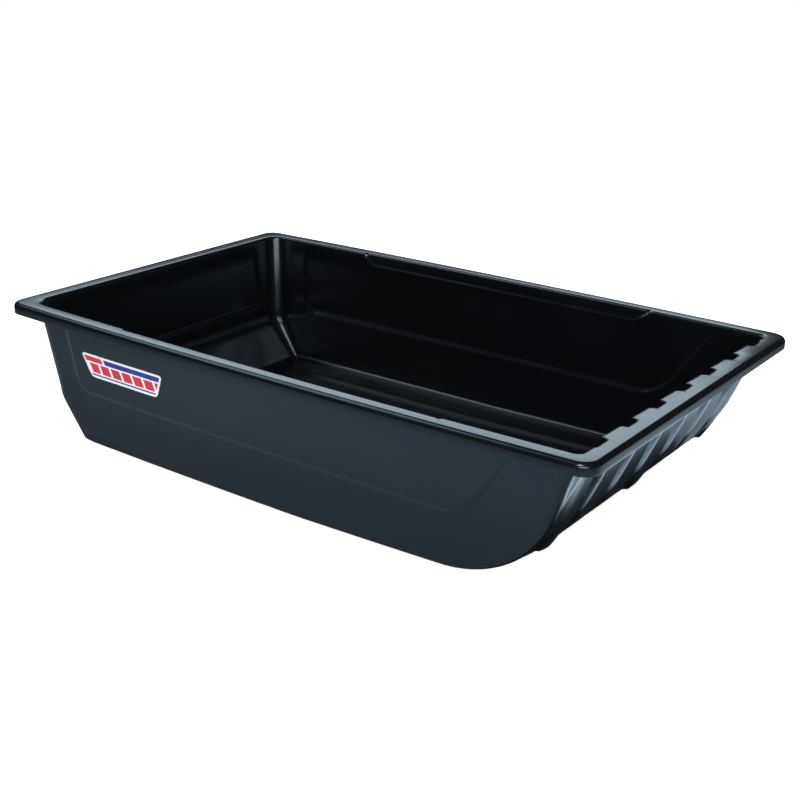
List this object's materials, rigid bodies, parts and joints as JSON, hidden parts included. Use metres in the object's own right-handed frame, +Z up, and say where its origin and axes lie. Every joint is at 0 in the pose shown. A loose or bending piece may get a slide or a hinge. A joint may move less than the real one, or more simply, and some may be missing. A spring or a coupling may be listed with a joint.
{
  "type": "ice fishing sled",
  "caption": "Open moulded plastic haul sled with a flat rolled rim, pressed side panels, ribbed upswept bow, sloped stern and a printed side decal.",
  "frame": {"origin": "under the middle of the rim, level with the flat rib crests that the sled stands on", "axes": "+X points to the bow, +Y to the side without the decal, +Z up; the rim lies level"},
  "size_m": [1.077, 0.664, 0.2355],
  "materials": {
    "hull_plastic": "dark charcoal polyethylene with a soft satin sheen, brighter on the worn rim, very fine surface grain",
    "decal_film": "printed vinyl film, white ground with red and blue bars"
  },
  "bodies": {
    "root": {"hull": "hull_plastic", "side_decal": "decal_film"}
  },
  "joints": []
}
